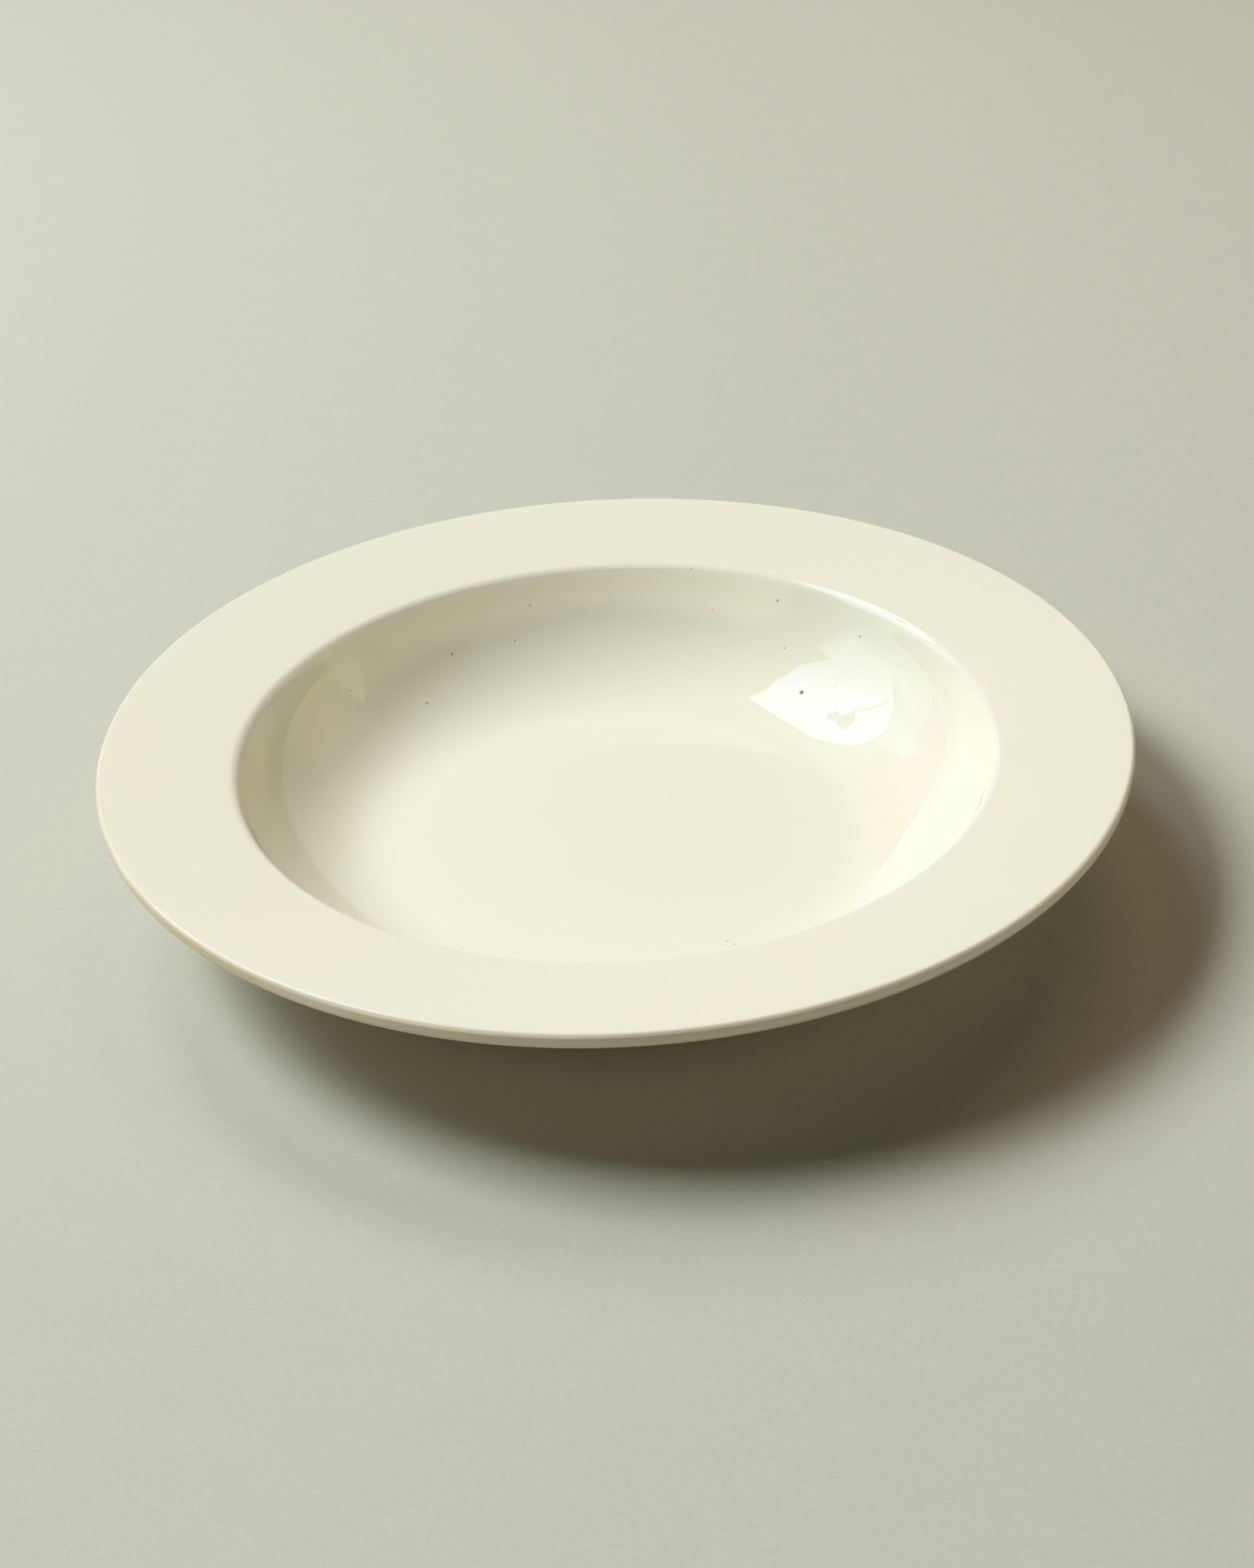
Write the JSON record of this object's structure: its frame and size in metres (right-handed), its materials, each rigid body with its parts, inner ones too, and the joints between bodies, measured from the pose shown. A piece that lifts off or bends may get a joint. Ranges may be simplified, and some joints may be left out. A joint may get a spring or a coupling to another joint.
{
  "type": "rimmed soup plate",
  "caption": "Round soup plate with a broad sloping rim, a deep curved well with a flat floor, and a low foot ring, in cream glazed earthenware.",
  "frame": {"origin": "centre of the circle on which the foot ring stands", "axes": "+Z along the plate's axis, up out of the well; the plate is round, so +X and +Y are any two directions in the table plane"},
  "size_m": [0.24, 0.24, 0.0385],
  "materials": {
    "bare_clay": "fired, unglazed, dry and slightly gritty",
    "cream_glaze": "clear gloss over cream, with fine iron specks"
  },
  "bodies": {
    "root": {"clay_body": "bare_clay", "glaze_coat": "cream_glaze", "base_glaze": "cream_glaze"}
  },
  "joints": []
}
